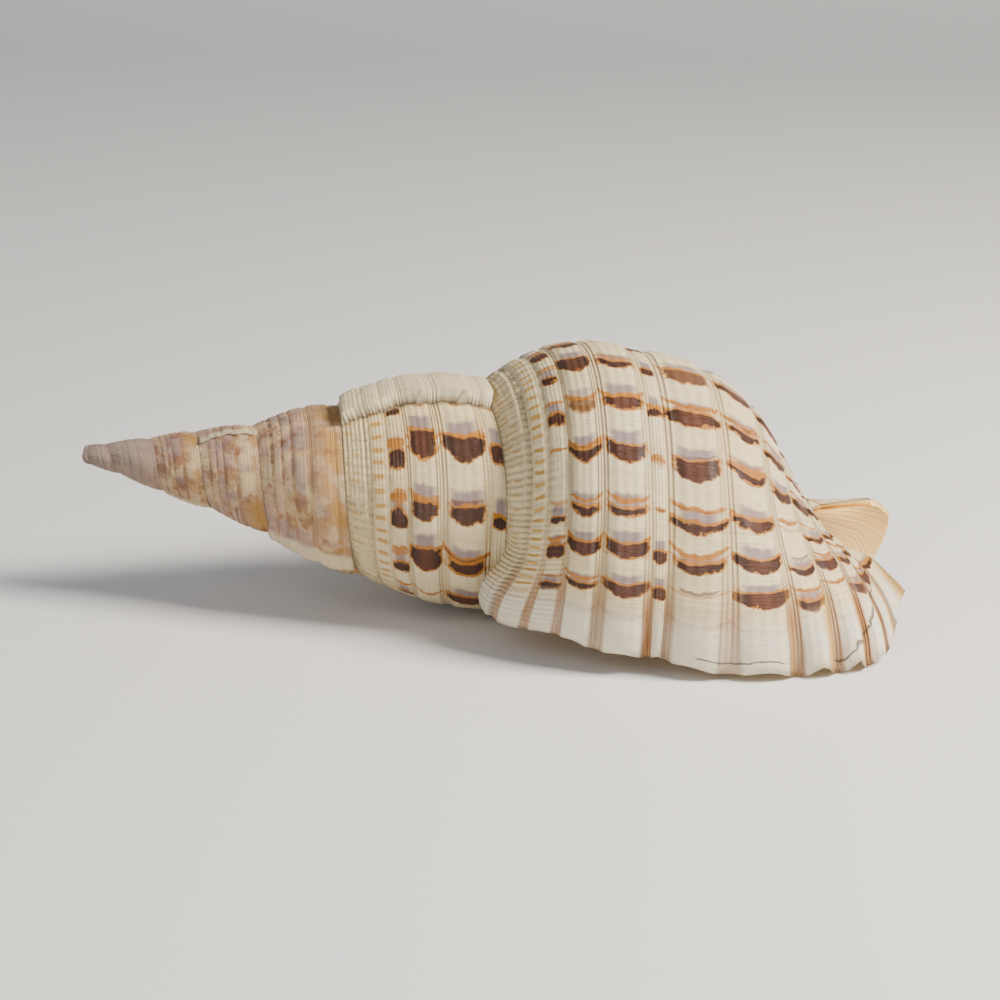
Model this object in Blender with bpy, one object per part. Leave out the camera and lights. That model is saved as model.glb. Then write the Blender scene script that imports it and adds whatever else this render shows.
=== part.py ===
import math

import bmesh
import bpy
import numpy as np

# Triton's trumpet shell, lying on its opening
# One grown piece: a tube coiled around an axis, measured here as distance along the axis
# from the tip, radius from the axis, and growth angle. Growth angle 0 is the outer lip,
# and one whorl is 360 degrees. Lengths are in millimetres until the last step.

# Coil
LIP_SIDE = 71.0
LIP_REACH = 10.0
FIRST_ANGLE = -2150.0
TURN = 360.0
SUTURE_ANGLES = (-2600, -2330, -2140, -1960, -1780, -1573, -1393, -1213, -1033, -853,
                 -673, -493, -403, -313, -223, -133, -43, 0, 47, 137, 227, 317, 380)
SUTURE_ALONG = (0.5, 1.0, 2.2, 6.2, 13.0, 23.5, 32, 40, 50, 61,
                74, 91, 98.5, 109, 124.5, 142, 158, 160.5, 163.5, 175, 199, 214, 221)
SEAM_ALONG = (0, 6, 12, 20, 30, 40, 50, 61, 74, 91, 109, 124.5, 142, 160.5, 163.5, 168, 175, 199,
              214, 221)
SEAM_RADIUS = (3.3, 4.3, 5.3, 7.4, 10.3, 13, 15.2, 17.8, 22, 28.6, 33.6, 37.4, 40.0, 40.4,
               40.0, 39.8, 46.5, 61.0, 67.0, 69.5)

# Base of the last whorl, its columella and the canal, at stations along the growth
BASE_ANGLES = (-1450, -1300, -1210, -1120, -1030, -940, -850, -760, -670, -583, -493, -403, -360, -313, -223, -133, -43, 0, 20)
BASE_ROWS = (1.4, 1.8, 2.2)
BASE_ALONG = ((50, 61, 68, 75, 83, 91, 100, 110, 124, 138, 156, 172, 178, 184, 197, 221, 236, 241, 243),
              (57, 69, 77, 84, 93, 103, 114, 126, 142, 158, 178, 196, 205, 213, 224, 243, 256, 266, 268),
              (70, 86, 97, 109, 123, 140, 160, 182, 205, 225, 243, 255, 258, 262, 262, 262, 272, 286, 289))
BASE_RADIUS = ((9, 10.8, 12, 13.5, 15.5, 17.5, 20, 23, 26.5, 29, 31.5, 32.5, 32.5, 32, 45, 57.5, 65, 69.5, 71),
               (5, 5.7, 6.3, 7, 8, 9, 10, 11, 12.5, 13.5, 15, 17, 18, 18.5, 28, 44.5, 53.5, 61, 63),
               (4.2, 5, 5.5, 6, 6.5, 7, 8, 8.5, 9.5, 10, 11, 12, 12, 13, 13.5, 21.5, 34, 51, 54))
END_ANGLES = (-900, -360, -313, -223, -178, -159, -150, -142, -125, -111, -75, -45, -30, -20, -10, 0, 20)
END_ALONG = (297, 297, 297, 299, 299, 294, 284, 275, 272.5, 272.5, 275, 279, 287, 296.5, 301.5, 306.5, 307)
END_RADIUS = (17, 17, 17, 17.5, 18, 18.5, 15, 12, 9.4, 8.6, 9.8, 12.3, 18.3, 22, 28, 35, 38)
END_TWIST_ANGLES = (-900, -60, -30, -20, -10, 0, 20)
END_TWIST = (0, 0, 3, 6, 8, 13, 14)
LIP_TWIST_ROWS = (1.5, 1.8, 2.0, 2.2, 2.4, 2.6, 2.8, 3.0)
LIP_TWIST = (0, -1.5, -3, -5.5, -8, -9, -8, 0)

# Flare of the outer lip, and the old lips (varices) left along the whorls
FLARE_FROM = -62.0
FLARE_ROWS = (0, 0.08, 0.5, 1.0, 1.4, 1.8, 2.2, 2.6, 3.0)
FLARE_HEIGHT = (0, 4, 5, 7, 11, 16, 18, 9, 0)
VARIX_STEP = 237.5
VARIX_COUNT = 6
VARIX_LEAN = (17.0, 12.0)
VARIX_LEAD = 32.0
VARIX_RISE = (0.055, 0.15, 0.08, 0.06, 0.05, 0.05)

# Spiral cords: middle, half width and height, across the whorl
CORDS = ((0.225, 0.035, 0.5), (0.335, 0.035, 0.5), (0.5, 0.075, 1.0), (0.765, 0.12, 1.4),
         (0.96, 0.03, 0.5), (1.21, 0.155, 1.5), (1.6, 0.095, 1.3), (1.89, 0.065, 1.2),
         (2.1, 0.06, 1.1), (2.32, 0.06, 1.0), (2.55, 0.06, 0.8), (2.78, 0.06, 0.6))

# Wall and hollow
WALL_AT = (0, 40, 400, 1000)
WALL = (2.6, 4.0, 3.8, 2.6)
HOLLOW_FLOOR_AT = (0, 190, 430)
HOLLOW_FLOOR = (2.2, 1.8, 1.5)
HOLLOW_LAG = 61.0
CANAL_FAR_EDGE = 325.0

# Where the grown surface is divided
COLUMN_STEPS = (0, 8, 16, 25, 35, 46, 58, 71, 85, 100, 115, 130, 145, 160, 175, 190, 205,
                220, 235, 250, 265, 280, 295, 310, 325, 340)
WHORL_ROWS = (0, 0.05, 0.12, 0.18, 0.225, 0.28, 0.335, 0.41, 0.5, 0.59, 0.68, 0.81, 0.89, 1.0)
BASE_DIVISIONS = (1.05, 1.12, 1.21, 1.3, 1.37, 1.44, 1.51, 1.6, 1.69, 1.76, 1.83, 1.89, 1.96,
                  2.03, 2.1, 2.2)
CANAL_ROWS = (2.32, 2.43, 2.55, 2.66, 2.78, 3.0)
HOLLOW_STEPS = (5, 12, 22, 34, 48, 64, 84, 106, 130, 156, 190, 224, 260, 298, 338, 380, 424,
                470, 520, 575, 640, 710, 785, 865, 950)

# Pose: the axis dips toward the canal and rolls until three places touch the ground
TILT = 5.71
ROLL = 4.14


def smooth_curve(x, knots, values):
    """Value at x of a smooth curve through the given stations."""
    x = np.asarray(x, float)
    k = np.asarray(knots, float)
    v = np.asarray(values, float)
    slope = np.gradient(v, k)
    x = np.clip(x, k[0], k[-1])
    i = np.clip(np.searchsorted(k, x, side="right") - 1, 0, len(k) - 2)
    h = k[i + 1] - k[i]
    u = (x - k[i]) / h
    a = v[i] * (1 + 2 * u) * (1 - u) ** 2
    b = slope[i] * h * u * (1 - u) ** 2
    c = v[i + 1] * u * u * (3 - 2 * u)
    d = slope[i + 1] * h * u * u * (u - 1)
    return a + b + c + d


def smooth_step(x):
    x = np.clip(x, 0.0, 1.0)
    return x * x * (3 - 2 * x)


def suture(angle):
    return smooth_curve(angle, SUTURE_ANGLES, SUTURE_ALONG)


def seam_radius(angle):
    return np.interp(suture(angle + TURN), SEAM_ALONG, SEAM_RADIUS)


def whorl_section(angle, row):
    """Along and radius of the whorl between its upper seam (row 0) and its lower seam (row 1)."""
    t = np.clip(row, 0.0, 1.0)
    upper = suture(angle)
    lower = suture(angle + TURN)
    r_upper = seam_radius(angle - TURN)
    r_lower = seam_radius(angle)
    early = smooth_step((-330 - angle) / 250)
    roundness = 1.45 + 0.55 * (1 - early) + 0.5 * smooth_step((angle + 420) / 200)
    rise = 1 - (1 - t) ** roundness
    along = upper + (lower - upper) * t
    radius = r_upper + (r_lower - r_upper) * rise
    swell = 0.045 - 0.035 * early
    radius = radius + swell * r_lower * np.sin(math.pi * t) ** 1.2
    return along, radius


def base_points(angle):
    """Points that the section passes below the lower seam, from row 0.7 to the canal end."""
    a7, r7 = whorl_section(angle, np.full_like(angle, 0.7))
    a10, r10 = whorl_section(angle, np.ones_like(angle))
    along = [a7, a10]
    radius = [r7, r10]
    for line in range(len(BASE_ROWS)):
        along.append(smooth_curve(angle, BASE_ANGLES, BASE_ALONG[line]))
        radius.append(smooth_curve(angle, BASE_ANGLES, BASE_RADIUS[line]))
    along.append(np.interp(angle, END_ANGLES, END_ALONG))
    radius.append(np.interp(angle, END_ANGLES, END_RADIUS))
    return np.stack(along, -1), np.stack(radius, -1)


def curve_through(row, knots, points):
    """Smooth curve through the points of each column, read at each row."""
    k = np.asarray(knots, float)
    slope = np.gradient(points, k, axis=-1)
    t = np.clip(row, k[0], k[-1])
    i = np.clip(np.searchsorted(k, t, side="right") - 1, 0, len(k) - 2)
    h = k[i + 1] - k[i]
    u = (t - k[i]) / h
    p0 = np.take_along_axis(points, i[..., None], -1)[..., 0]
    p1 = np.take_along_axis(points, i[..., None] + 1, -1)[..., 0]
    m0 = np.take_along_axis(slope, i[..., None], -1)[..., 0]
    m1 = np.take_along_axis(slope, i[..., None] + 1, -1)[..., 0]
    first = p0 * (1 + 2 * u) * (1 - u) ** 2 + m0 * h * u * (1 - u) ** 2
    second = p1 * u * u * (3 - 2 * u) + m1 * h * u * u * (u - 1)
    return first + second


def true_angle(angle, row):
    """Growth angle after the lip edge leans back toward the upper seam."""
    lean = smooth_step(row / 0.45) * smooth_step((angle + 90) / (90 + LIP_REACH))
    return angle - LIP_REACH * lean


def place(along, radius, side):
    """Point in space from the distance along the axis, the radius and the side angle."""
    s = np.radians(side)
    return np.stack([along, -radius * np.sin(s), -radius * np.cos(s)], -1)


def plain_surface(angle, row):
    """The outside of the shell without lip flare, cords or varices."""
    angle = np.asarray(angle, float)
    row = np.asarray(row, float)
    angle, row = np.broadcast_arrays(angle, row)
    grown = true_angle(angle, row)
    a_whorl, r_whorl = whorl_section(grown, row)
    pa, pr = base_points(grown)
    knots = (0.7, 1.0) + BASE_ROWS + (3.0,)
    a_base = curve_through(row, knots, pa)
    r_base = curve_through(row, knots, pr)
    below = row > 1.0
    along = np.where(below, a_base, a_whorl)
    radius = np.where(below, r_base, r_whorl)
    twist = np.interp(grown, END_TWIST_ANGLES, END_TWIST) * smooth_step((row - 2.3) / 0.7)
    near_lip = np.clip((grown + 60) / 60, 0, 1) ** 1.5
    twist = twist + smooth_curve(row, LIP_TWIST_ROWS, LIP_TWIST) * near_lip
    side = LIP_SIDE - grown + twist
    return place(along, radius, side)


def outward(function, angle, row):
    """Outward direction of a surface at growth angle and row."""
    da = 0.5
    dr = 0.01
    low = np.maximum(row - dr, 0.0)
    high = np.minimum(row + dr, 3.0)
    along_growth = function(angle + da, row) - function(angle - da, row)
    across = function(angle, high) - function(angle, low)
    normal = np.cross(along_growth, across)
    length = np.linalg.norm(normal, axis=-1, keepdims=True)
    return normal / np.maximum(length, 1e-9)


def flare(angle, row):
    """How far the outer lip stands out from the plain surface."""
    reach = np.clip((true_angle(angle, row) - FLARE_FROM) / (0 - FLARE_FROM), 0, 1.5)
    return smooth_curve(row, FLARE_ROWS, FLARE_HEIGHT) * reach ** 2


def varix_lean(row):
    """How far the edge of an old lip leans forward at a row."""
    near, more = VARIX_LEAN
    below = np.clip(row - 1, 0, 0.6)
    return near + more * np.clip(1 - 2 * row, 0, 1) ** 1.5 - 29.0 * below


def varix(angle, row):
    """Height of the old lips: a slow rise that ends in a step."""
    total = np.zeros_like(angle * row)
    size = seam_radius(np.minimum(angle, 0.0))
    for count in range(1, VARIX_COUNT + 1):
        edge = -VARIX_STEP * count + varix_lean(row)
        before = edge - angle
        rise = np.clip(1 - before / VARIX_LEAD, 0, 1) ** 2
        fade = smooth_step((2.0 - row) / 0.5) * smooth_step(row / 0.04)
        total = total + np.where(before >= 0, rise, 0.0) * VARIX_RISE[count - 1] * size * fade
    return total


def cords(angle, row):
    """Height of the spiral cords."""
    size = seam_radius(np.minimum(angle, 0.0)) / 61.0
    total = np.zeros_like(angle * row)
    for middle, half, height in CORDS:
        near = 1 - np.abs(row - middle) / (half * 1.15)
        total = total + height * smooth_step(near * 1.8)
    return total * np.clip(size, 0.15, 1.2)


def outside(angle, row):
    """The outside of the shell with its flare, old lips and cords."""
    angle, row = np.broadcast_arrays(np.asarray(angle, float), np.asarray(row, float))
    height = flare(angle, row) + varix(angle, row) + cords(angle, row)
    height = height * smooth_step(row / 0.03)
    return plain_surface(angle, row) + outward(plain_surface, angle, row) * height[..., None]


def inset(angle, row, wall):
    """The inner face of the wall, one wall thickness below the outside."""
    angle, row = np.broadcast_arrays(np.asarray(angle, float), np.asarray(row, float))
    smooth = plain_surface(angle, row)
    normal = outward(plain_surface, angle, row)
    return smooth + normal * (flare(angle, row) - wall)[..., None]


def column_angles():
    """Growth angles of the columns, from the tip to the lip."""
    angles = [LIP_REACH]
    turn = 0
    while angles[-1] > FIRST_ANGLE - 1:
        for step in COLUMN_STEPS[1:] + (TURN,):
            angles.append(LIP_REACH - turn * TURN - step)
        turn += 1
    whole = int(round((LIP_REACH - FIRST_ANGLE) / TURN)) * len(COLUMN_STEPS)
    return np.array(angles[:whole + 1])[::-1]


class Skin:
    """Vertices and faces of the shell while it is put together."""

    def __init__(self):
        self.points = []
        self.faces = []

    def add(self, points):
        first = len(self.points)
        self.points.extend(np.asarray(points, float).reshape(-1, 3).tolist())
        return list(range(first, first + len(self.points) - first))

    def strip(self, lower, upper):
        for j in range(len(lower) - 1):
            corners = (lower[j], lower[j + 1], upper[j + 1], upper[j])
            face = [c for i, c in enumerate(corners) if c not in corners[:i]]
            if len(face) > 2:
                self.faces.append(face)


def outer_grid(skin):
    """Spiral sheet; each whorl's upper seam shares the points of the last one's lower seam."""
    angles = column_angles()
    per_turn = len(COLUMN_STEPS)
    last = len(angles) - 1
    rows = WHORL_ROWS + BASE_DIVISIONS + CANAL_ROWS
    seam = len(WHORL_ROWS) - 1
    neck = seam + len(BASE_DIVISIONS)
    far = last - per_turn + COLUMN_STEPS[::-1].index(CANAL_FAR_EDGE) + 1
    index = {}
    for c, angle in enumerate(angles):
        top = seam
        if c >= last - per_turn:
            top = neck
        if c >= far:
            top = len(rows) - 1
        first = 0 if c < per_turn else 1
        column = outside(np.full(top + 1 - first, angle), np.array(rows[first:top + 1]))
        names = skin.add(column)
        for i, name in enumerate(names):
            index[c, i + first] = name
        if first == 1:
            index[c, 0] = index[c - per_turn, seam]
    for c in range(last):
        top = min(max(i for cc, i in ((c, r) for r in range(len(rows))) if (cc, i) in index),
                  max(i for cc, i in ((c + 1, r) for r in range(len(rows))) if (cc, i) in index))
        lower = [index[c, i] for i in range(top + 1)]
        upper = [index[c + 1, i] for i in range(top + 1)]
        skin.strip(lower, upper)
    return index, angles, rows, seam, neck, far


def tip_cap(skin, index, seam):
    """Worn, rounded tip that closes the start of the coil."""
    per_turn = len(COLUMN_STEPS)
    loop = [index[c, 0] for c in range(per_turn + 1)]
    loop += [index[0, i] for i in range(seam - 1, 0, -1)]
    top = skin.add([[-0.4, 0.3, 0.2]])[0]
    for j in range(len(loop)):
        skin.faces.append([loop[j], top, loop[(j + 1) % len(loop)]])


def rim_loop(index, angles, rows, seam, neck, far):
    """Names and surface places of the points around the opening, lip first."""
    last = len(angles) - 1
    start = last - len(COLUMN_STEPS)
    end = len(rows) - 1
    loop = [(last, i, "lip") for i in range(0, neck + 1)]
    loop += [(last, i, "near") for i in range(neck + 1, end + 1)]
    loop += [(c, end, "end") for c in range(last - 1, far - 1, -1)]
    loop += [(far, i, "edge") for i in range(end - 1, neck, -1)]
    loop += [(c, neck, "ledge") for c in range(far, start, -1)]
    loop += [(start, i, "pillar") for i in range(neck, seam, -1)]
    names = [index[c, i] for c, i, part in loop]
    return loop, names


def lip_place(row, depth, lag):
    angle = LIP_REACH - depth - lag * smooth_step((row - 1.0) / 1.2)
    floor_row = float(np.interp(depth, HOLLOW_FLOOR_AT, HOLLOW_FLOOR))
    start = 0.09 * min(1.0, depth / 6.0)
    return angle, start + (floor_row - start) * row / 2.2


def hollow_loop(loop, angles, rows, depth):
    """Points of the hollow at a depth behind the lip, in the order of the rim."""
    u = min(1.0, depth / HOLLOW_LAG)
    lag = HOLLOW_LAG * smooth_step(u)
    wall = float(np.interp(depth, WALL_AT, WALL))
    start = LIP_REACH - TURN
    lip_end = inset(*lip_place(2.2, depth, lag), wall)
    foot = plain_surface(start - depth - lag, 2.2)
    middle = 0.5 * (lip_end + foot) + np.array([7.0 * u, 0, 0])
    canal = [n for n, item in enumerate(loop) if item[2] in ("near", "end", "edge", "ledge")]
    count = len(canal) + 1
    merge = float(smooth_step((u - 0.3) / 0.7))
    ends = [n for n, item in enumerate(loop) if item[2] == "end"]
    corner = inset(angles[loop[ends[-1]][0]] * (1 - u) - 125.0 * u, 3.0 - 0.8 * u, wall)
    far_angle = angles[loop[ends[-1]][0]]
    out = []
    for n, (c, i, part) in enumerate(loop):
        row = rows[i]
        angle = angles[c]
        if part == "lip":
            if i == 0:
                point = plain_surface(start - depth, 1.0 + 0.07 * min(1.0, depth / 6.0))
            else:
                point = inset(*lip_place(row, depth, lag), wall)
            out.append(point)
            continue
        if part == "pillar":
            out.append(plain_surface(start - depth - lag * smooth_step((row - 1.0) / 1.2),
                                     max(row, 1.0 + 0.07 * min(1.0, depth / 6.0))))
            continue
        s = (canal.index(n) + 1) / count
        arc = (1 - s) ** 2 * lip_end + 2 * s * (1 - s) * middle + s * s * foot
        if part == "near":
            t = row + (2.2 - row) * u
            point = inset(angle + (-101.0 - angle) * u, t, wall)
        elif part == "end":
            goal = -101.0 if angle > -113 else -125.0
            point = inset(angle + (goal - angle) * u, 3.0 - 0.8 * u, wall)
        elif part == "edge":
            share = (3.0 - row) / 0.8
            on_edge = inset(far_angle, row, wall)
            on_pillar = plain_surface(far_angle + (start - depth - lag - far_angle) * u, 2.2)
            swept = (1 - share) * corner + share * on_pillar
            keep = max(0.0, 1 - depth / 10.0) ** 2
            point = keep * on_edge + (1 - keep) * swept
        else:
            goal = start - depth - lag
            moved = min(depth, 5.0) * (1 - u)
            point = plain_surface(angle - moved + (goal - angle) * u, 2.2)
        out.append((1 - merge) * point + merge * arc)
    return np.array(out)


def hollow(skin, loop, names, angles, rows):
    """Inner side of the opening: tube that runs back into the whorl and closes."""
    previous = names + names[:1]
    ring = None
    for depth in (0.0,) + HOLLOW_STEPS:
        ring = hollow_loop(loop, angles, rows, depth)
        if depth == 0.0:
            keep = [part in ("pillar", "ledge") or (part == "lip" and i == 0) for c, i, part in loop]
            added = []
            for flag, name, point in zip(keep, names, ring):
                added.append(name if flag else skin.add([point])[0])
        else:
            added = skin.add(ring)
        skin.strip(previous, added + added[:1])
        previous = added + added[:1]
    centre = ring.mean(axis=0)
    ahead = hollow_loop(loop, angles, rows, HOLLOW_STEPS[-1] + 7.0).mean(axis=0)
    small = skin.add(ahead + (ring - centre) * 0.6)
    skin.strip(previous, small + small[:1])
    far = hollow_loop(loop, angles, rows, HOLLOW_STEPS[-1] + 11.0).mean(axis=0)
    tip = skin.add([far])[0]
    for j in range(len(small)):
        skin.faces.append([small[j], small[(j + 1) % len(small)], tip])


def posed(points):
    """Turn the axis into its resting pose and set the shell on the ground."""
    p = np.asarray(points, float)
    roll = math.radians(ROLL)
    y = p[:, 1] * math.cos(roll) - p[:, 2] * math.sin(roll)
    z = p[:, 1] * math.sin(roll) + p[:, 2] * math.cos(roll)
    tilt = math.radians(TILT)
    x = p[:, 0] * math.cos(tilt) + z * math.sin(tilt)
    z = z * math.cos(tilt) - p[:, 0] * math.sin(tilt)
    out = np.stack([x, y, z], -1)
    middle = 0.5 * (out.min(axis=0) + out.max(axis=0))
    middle[2] = out[:, 2].min()
    return (out - middle) * 0.001


def shell_skin():
    skin = Skin()
    index, angles, rows, seam, neck, far = outer_grid(skin)
    tip_cap(skin, index, seam)
    loop, names = rim_loop(index, angles, rows, seam, neck, far)
    hollow(skin, loop, names, angles, rows)
    return posed(skin.points), skin.faces


def material(name, colour, roughness, metallic):
    mat = bpy.data.materials.new(name)
    mat.use_nodes = True
    shader = mat.node_tree.nodes["Principled BSDF"]
    shader.inputs["Base Color"].default_value = colour + (1.0,)
    shader.inputs["Roughness"].default_value = roughness
    shader.inputs["Metallic"].default_value = metallic
    mat.diffuse_color = colour + (1.0,)
    return mat


def build_shell():
    points, faces = shell_skin()
    bm = bmesh.new()
    verts = [bm.verts.new(p) for p in points]
    for face in faces:
        bm.faces.new([verts[i] for i in face])
    bmesh.ops.recalc_face_normals(bm, faces=bm.faces)
    bmesh.ops.triangulate(bm, faces=bm.faces)
    mesh = bpy.data.meshes.new("shell")
    bm.to_mesh(mesh)
    bm.free()
    obj = bpy.data.objects.new("shell", mesh)
    bpy.context.scene.collection.objects.link(obj)
    mesh.materials.append(material("cream_shell", (0.72, 0.60, 0.46), 0.42, 0.0))
    mesh.shade_smooth()
    return obj


def clear_scene():
    for obj in list(bpy.data.objects):
        bpy.data.objects.remove(obj, do_unlink=True)


def main():
    clear_scene()
    build_shell()


main()
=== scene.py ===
import math

import bmesh
import bpy
import numpy as np
from bpy.props import FloatProperty, FloatVectorProperty, IntProperty, PointerProperty
from mathutils import Matrix, Vector


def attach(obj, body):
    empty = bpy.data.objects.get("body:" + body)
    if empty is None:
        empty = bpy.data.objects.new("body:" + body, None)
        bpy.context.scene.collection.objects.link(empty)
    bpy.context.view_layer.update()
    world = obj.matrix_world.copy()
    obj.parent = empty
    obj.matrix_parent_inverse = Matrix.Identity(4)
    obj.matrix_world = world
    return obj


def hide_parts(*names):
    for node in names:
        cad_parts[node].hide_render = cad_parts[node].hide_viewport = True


bl_info = {
    "name": "Triton's Trumpet Shell",
    "version": (1, 0, 0),
    "blender": (4, 5, 0),
    "location": "View3D > Sidebar > Shell",
    "description": "Grows a triton's trumpet shell and sets it on a pale studio floor",
    "category": "Object",
}

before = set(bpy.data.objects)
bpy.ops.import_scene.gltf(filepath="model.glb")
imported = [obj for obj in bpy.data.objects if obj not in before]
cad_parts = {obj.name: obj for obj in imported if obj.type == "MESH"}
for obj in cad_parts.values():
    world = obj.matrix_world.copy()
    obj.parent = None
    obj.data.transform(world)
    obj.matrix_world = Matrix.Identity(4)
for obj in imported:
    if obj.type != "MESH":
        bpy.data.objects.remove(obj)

# The shell is one grown tube coiled around an axis. A place on it is given by the growth
# angle, 0 at the outer lip and 360 degrees less for each whorl before it, and by the row,
# 0 at the upper seam, 1 at the lower seam, 2.2 at the neck and 3 at the end of the canal.
# Lengths are in millimetres until the last step.

# Coil
LIP_SIDE = 71.0
LIP_REACH = 10.0
FIRST_ANGLE = -2510.0
TURN = 360.0
SUTURE_ANGLES = (-2600, -2330, -2140, -1960, -1780, -1573, -1393, -1213, -1033, -853,
                 -673, -493, -403, -313, -223, -133, -43, 0, 47, 137, 227, 317, 380)
SUTURE_ALONG = (0.5, 1.0, 2.2, 6.2, 13.0, 23.5, 32, 40, 50, 61,
                74, 91, 98.5, 109, 124.5, 142, 158, 160.5, 163.5, 175, 199, 214, 221)
SEAM_ALONG = (0, 6, 12, 20, 30, 40, 50, 61, 74, 91, 109, 124.5, 142, 160.5, 163.5, 168, 175, 199,
              214, 221)
SEAM_RADIUS = (3.2, 4.0, 5.1, 7.2, 9.9, 12.5, 14.7, 17.2, 21.3, 28.2, 33.4, 37.4, 40.0, 40.4,
               40.0, 39.8, 46.5, 61.0, 67.0, 69.5)

# Base of the last whorl, its columella and the canal, at stations along the growth
NECK_ROW = 2.2
END_ROW = 3.0
BASE_ANGLES = (-1450, -1300, -1210, -1120, -1030, -940, -850, -760, -670, -583,
               -493, -403, -360, -313, -223, -133, -43, 0, 20)
BASE_ROWS = (1.4, 1.8, NECK_ROW)
BASE_ALONG = ((50, 61, 68, 75, 83, 91, 100, 110, 124, 138,
               156, 172, 178, 184, 197, 221, 236, 241, 243),
              (57, 69, 77, 84, 93, 103, 114, 126, 142, 158,
               178, 196, 205, 213, 224, 243, 256, 266, 268),
              (70, 86, 97, 109, 123, 140, 160, 182, 205, 225,
               243, 255, 258, 262, 262, 262, 272, 286, 289))
BASE_RADIUS = ((9, 10.8, 12, 13.5, 15.5, 17.5, 20, 23, 26.5, 29,
                31.5, 32.5, 32.5, 32, 45, 57.5, 65, 69.5, 71),
               (5, 5.7, 6.3, 7, 8, 9, 10, 11, 12.5, 13.5,
                15, 17, 18, 18.5, 28, 44.5, 53.5, 61, 63),
               (4.2, 5, 5.5, 6, 6.5, 7, 8, 8.5, 9.5, 10,
                11, 12, 12, 13, 13.5, 21.5, 34, 51, 54))
END_ANGLES = (-900, -360, -313, -223, -178, -159, -150, -142, -125, -111,
              -75, -45, -30, -20, -10, 0, 20)
END_ALONG = (297, 297, 297, 299, 299, 294, 284, 275, 272.5, 272.5,
             275, 279, 287, 296.5, 301.5, 306.5, 307)
END_RADIUS = (17, 17, 17, 17.5, 18, 18.5, 15, 12, 9.4, 8.6, 9.8, 12.3, 18.3, 22, 28, 35, 38)
END_TWIST_ANGLES = (-900, -60, -30, -20, -10, 0, 20)
END_TWIST = (0, 0, 3, 6, 8, 13, 14)
LIP_TWIST_ROWS = (1.5, 1.8, 2.0, 2.2, 2.4, 2.6, 2.8, 3.0)
LIP_TWIST = (0, -1.5, -3, -5.5, -8, -9, -8, 0)

# Flare of the outer lip, and the old lips (varices) left along the whorls
FLARE_FROM = -62.0
FLARE_ROWS = (0, 0.08, 0.5, 1.0, 1.4, 1.8, 2.2, 2.6, 3.0)
FLARE_HEIGHT = (0, 4, 5, 7, 11, 16, 18, 9, 0)
VARIX_STEP = 237.5
VARIX_COUNT = 6
VARIX_LEAN = (17.0, 12.0)
VARIX_LEAD = (32.0, 54.0, 38.0, 34.0, 32.0, 32.0)
VARIX_CREST = (0.0, 19.0, 8.0, 5.0, 4.0, 4.0)
VARIX_RISE = (0.055, 0.155, 0.08, 0.06, 0.05, 0.05)
TONGUE = 8.5
LIP_CORNER = 4.2
SPOUT = 7.0
SPOUT_MIDDLE = -190.0

# Wall and hollow
WALL_AT = (0, 40, 400, 1000)
WALL = (2.6, 4.0, 3.8, 2.6)
HOLLOW_FLOOR_AT = (0, 190, 430)
HOLLOW_FLOOR = (2.2, 1.8, 1.5)
HOLLOW_LAG = 61.0
CANAL_FAR_EDGE = 325.0
HOLLOW_DEPTH = 950.0
CANAL_NEAR_ANGLE = -101.0
CANAL_FOLD_ANGLE = -125.0
MOUTH_EASE = 6.0
LIP_INNER_ROW = 0.09
PILLAR_INNER_ROWS = 0.07
TIP_CROWN = (-0.6, 0.1, 0.1)

# Spiral bands: where each begins, across the section, and how high its cord stands
BAND_ROWS = (0, 0.17, 0.28, 0.395, 0.61, 0.915, 1.02, 1.42, 1.76, 1.99, 2.21, 2.43, 2.66, 3.0)
CORD_HEIGHTS = (0.5, 0.8, 0.7, 1.0, 1.3, 0.6, 1.4, 1.2, 1.1, 1.0, 0.9, 0.8, 0.6)
BAND_STATIONS = (0, 0.08, 0.2, 0.36, 0.5, 0.64, 0.8, 0.92)

# Rows of marks: growth angle of the place where their spacing changes, and the spacing
MARK_ANGLES = (-2520, -700, -420, -260, -45, -15, 60)
MARK_SPACING = (42, 42, 34, 21, 20, 11, 11)

# Pose: the axis dips toward the canal and rolls until three places touch the ground
TILT = 5.71
ROLL = 4.14
METRES = 0.001

# Details keep their size relative to the radius of the last whorl
LAST_RADIUS = 61.0
# The "relief" map holds the pale crest of each old lip and the painted shadow under its edge
DETAIL_MAPS = ("marks", "growth", "relief")


def station_at(x, knots):
    """The station before x, the step to the next one, and the share of it passed."""
    x = np.clip(x, knots[0], knots[-1])
    i = np.clip(np.searchsorted(knots, x, side="right") - 1, 0, len(knots) - 2)
    step = knots[i + 1] - knots[i]
    return i, step, (x - knots[i]) / step


def bend(first, second, first_slope, second_slope, step, u):
    """Smooth path between two values that leaves and arrives with the given slopes."""
    leaving = first * (1 + 2 * u) * (1 - u) ** 2 + first_slope * step * u * (1 - u) ** 2
    arriving = second * u * u * (3 - 2 * u) + second_slope * step * u * u * (u - 1)
    return leaving + arriving


def smooth_curve(x, knots, values):
    """Value at x of a smooth curve through the given stations."""
    knots = np.asarray(knots, float)
    values = np.asarray(values, float)
    slope = np.gradient(values, knots)
    i, step, u = station_at(np.asarray(x, float), knots)
    return bend(values[i], values[i + 1], slope[i], slope[i + 1], step, u)


def smooth_step(x):
    """0 up to x = 0, 1 from x = 1 on, and smooth between."""
    x = np.clip(x, 0.0, 1.0)
    return x * x * (3 - 2 * x)


def suture(angle):
    """Distance along the axis of the seam at a growth angle."""
    return smooth_curve(angle, SUTURE_ANGLES, SUTURE_ALONG)


def seam_radius(angle):
    """Radius of the seam under the whorl at a growth angle."""
    return np.interp(suture(angle + TURN), SEAM_ALONG, SEAM_RADIUS)


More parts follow.
